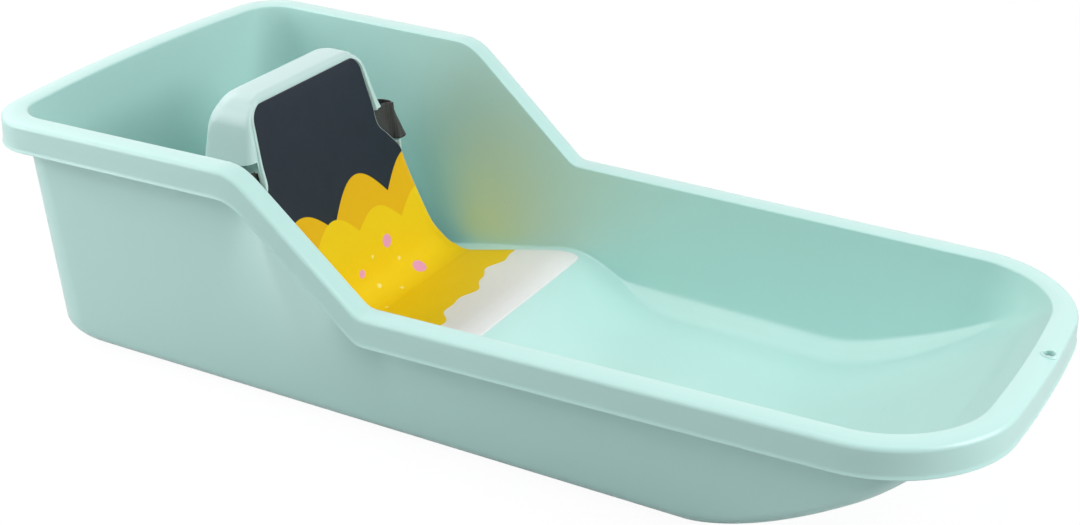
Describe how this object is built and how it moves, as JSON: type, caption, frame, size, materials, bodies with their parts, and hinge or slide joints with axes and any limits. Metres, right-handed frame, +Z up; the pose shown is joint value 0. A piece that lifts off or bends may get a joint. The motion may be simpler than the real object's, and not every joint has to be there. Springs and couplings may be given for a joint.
{
  "type": "baby pull sled",
  "caption": "Moulded tub sled for a small child, with a high rear wall, a padded backrest and seat, a lap belt and a rope hole in its nose.",
  "frame": {"origin": "middle of the bounding box at its lowest point, where the runners rest", "axes": "+X runs from the rear wall to the nose, +Y to the sitter's left, +Z up"},
  "size_m": [0.96, 0.425, 0.253],
  "materials": {
    "tub": "moulded polyethylene, satin to gloss",
    "backrest": "moulded polyethylene, gloss",
    "pad": "printed foam sheet, matt",
    "webbing": "woven webbing",
    "buckle": "moulded acetal",
    "screws": "zinc-plated"
  },
  "bodies": {
    "sled": {"tub_shell": "tub", "backrest_shell": "backrest", "seat_pad": "pad", "belt_strap_near": "webbing", "belt_strap_far": "webbing", "buckle_socket": "buckle", "backrest_screw_1": "screws", "backrest_screw_2": "screws", "backrest_screw_3": "screws", "backrest_screw_4": "screws"},
    "tongue": {"buckle_tongue": "buckle"},
    "slide": {"belt_adjuster": "buckle"}
  },
  "joints": [
    {"name": "buckle_release", "type": "slide", "parent": "sled", "child": "tongue", "axis": [-1, 0, 0], "range_m": [0, 0.014], "deforming": ["belt_strap_far"]},
    {"name": "adjuster_slide", "type": "slide", "parent": "sled", "child": "slide", "axis": [0, 1, 0], "range_m": [-0.008, 0.008]}
  ]
}
